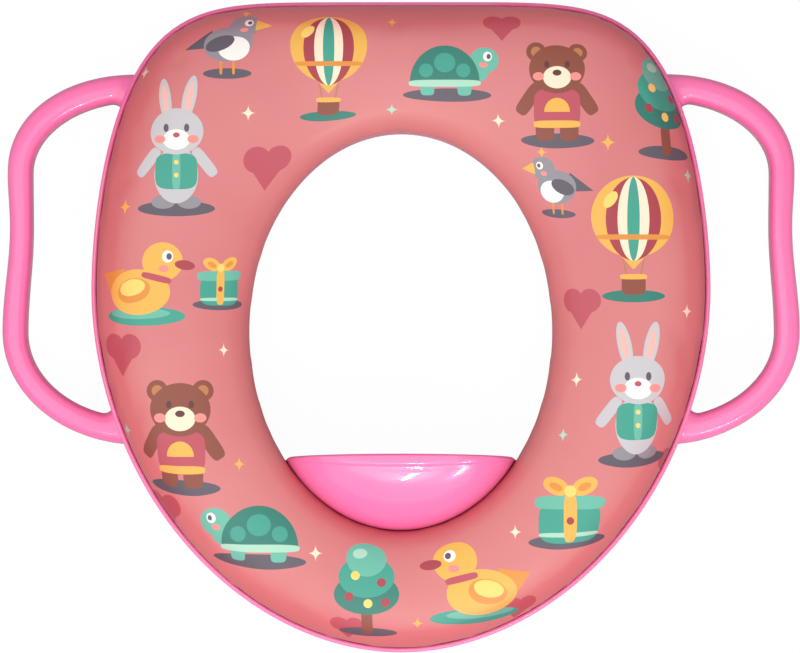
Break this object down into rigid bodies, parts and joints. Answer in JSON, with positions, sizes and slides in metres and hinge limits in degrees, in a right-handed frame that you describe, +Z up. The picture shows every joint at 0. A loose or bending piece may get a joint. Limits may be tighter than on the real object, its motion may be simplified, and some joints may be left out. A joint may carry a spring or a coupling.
{
  "type": "padded potty training seat",
  "caption": "Padded child's toilet training seat: a glossy moulded base with side handles and splash guard, under a printed vinyl foam cushion ring.",
  "frame": {"origin": "centre of the bounding box's lower face, on the floor under the middle of the ring", "axes": "+X to the right across both handles, +Y to the back of the seat, with the splash guard at the front, and +Z up"},
  "size_m": [0.38, 0.31, 0.07],
  "materials": {
    "base_plastic": "glossy pink moulded polypropylene",
    "cover_vinyl": null,
    "foam": "open-cell foam",
    "board": "raw pressed fibre board",
    "screw_steel": "zinc-plated steel",
    "grip_rubber": "matte grey rubber"
  },
  "bodies": {
    "root": {"seat_base": "base_plastic", "cushion_board": "board", "cushion_foam": "foam", "cushion_cover": "cover_vinyl", "cushion_screws": "screw_steel", "grip_pad_front_left": "grip_rubber", "grip_pad_front_right": "grip_rubber", "grip_pad_rear_left": "grip_rubber", "grip_pad_rear_right": "grip_rubber"}
  },
  "joints": []
}
